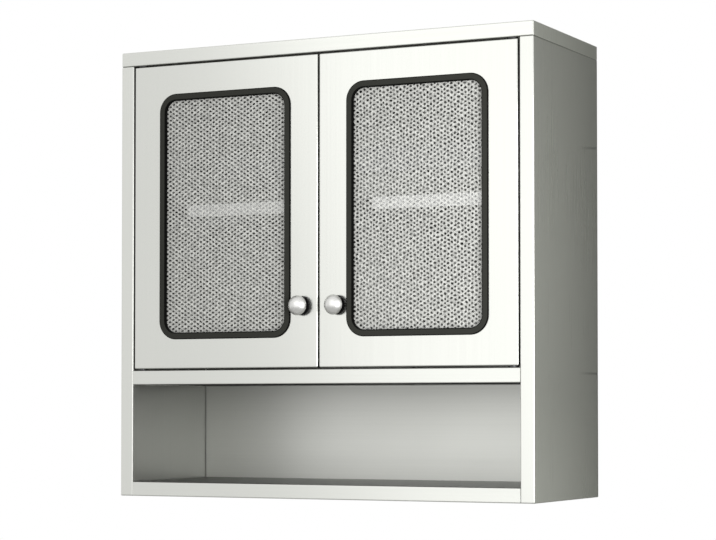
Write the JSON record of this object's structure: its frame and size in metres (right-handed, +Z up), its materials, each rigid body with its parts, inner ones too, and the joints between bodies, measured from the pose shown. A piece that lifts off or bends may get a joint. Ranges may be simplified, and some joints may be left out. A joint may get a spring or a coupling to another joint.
{
  "type": "wall cabinet",
  "caption": "Wall-hung stainless steel cabinet: hinged doors with dotted glass windows in black gaskets over an open niche, with a shelf inside.",
  "frame": {"origin": "middle of the four wall-screw holes, on the wall plane", "axes": "+X to the right of someone facing the cabinet, +Y into the wall, +Z up; the doors face -Y"},
  "size_m": [0.6, 0.2485, 0.6],
  "materials": {
    "brushed_stainless": "brushed, grain along each panel",
    "plated_steel": "zinc plated",
    "polished_knob": "polished",
    "gasket_rubber": "matt black",
    "dotted_glass": "rolled, raised dots on the front",
    "nylon": "black nylon",
    "catch_plastic": "moulded",
    "ferrite": "dull"
  },
  "bodies": {
    "carcass": {"top_panel": "brushed_stainless", "deck_panel": "brushed_stainless", "deck_liner": "brushed_stainless", "niche_floor_panel": "brushed_stainless", "back_panel": "brushed_stainless", "niche_back_panel": "brushed_stainless", "inner_shelf": "brushed_stainless", "left_side_panel": "brushed_stainless", "right_side_panel": "brushed_stainless", "upper_wall_bar": "plated_steel", "lower_wall_bar": "plated_steel", "left_shelf_rail": "plated_steel", "right_shelf_rail": "plated_steel", "catch_screws": "plated_steel", "upper_pivot_bushes": "nylon", "lower_pivot_bushes": "nylon", "catch_body": "catch_plastic", "catch_magnets": "ferrite"},
    "left_door": {"left_door_pan": "brushed_stainless", "left_door_liner": "brushed_stainless", "left_window_gasket": "gasket_rubber", "left_window_glass": "dotted_glass", "left_knob": "polished_knob", "left_knob_screw": "plated_steel", "left_knob_spacer": "plated_steel", "left_pivot_pins": "plated_steel", "left_pivot_blocks": "plated_steel", "left_strike_plate": "plated_steel", "left_strike_screw": "plated_steel"},
    "right_door": {"right_door_pan": "brushed_stainless", "right_door_liner": "brushed_stainless", "right_window_gasket": "gasket_rubber", "right_window_glass": "dotted_glass", "right_knob": "polished_knob", "right_knob_screw": "plated_steel", "right_knob_spacer": "plated_steel", "right_pivot_pins": "plated_steel", "right_pivot_blocks": "plated_steel", "right_strike_plate": "plated_steel", "right_strike_screw": "plated_steel"}
  },
  "joints": [
    {"name": "left_door_hinge", "type": "hinge", "parent": "carcass", "child": "left_door", "pos_m": [-0.2696, -0.223, 0], "axis": [0, 0, -1], "range_deg": [0, 110]},
    {"name": "right_door_hinge", "type": "hinge", "parent": "carcass", "child": "right_door", "pos_m": [0.2696, -0.223, 0], "axis": [0, 0, 1], "range_deg": [0, 110]}
  ]
}
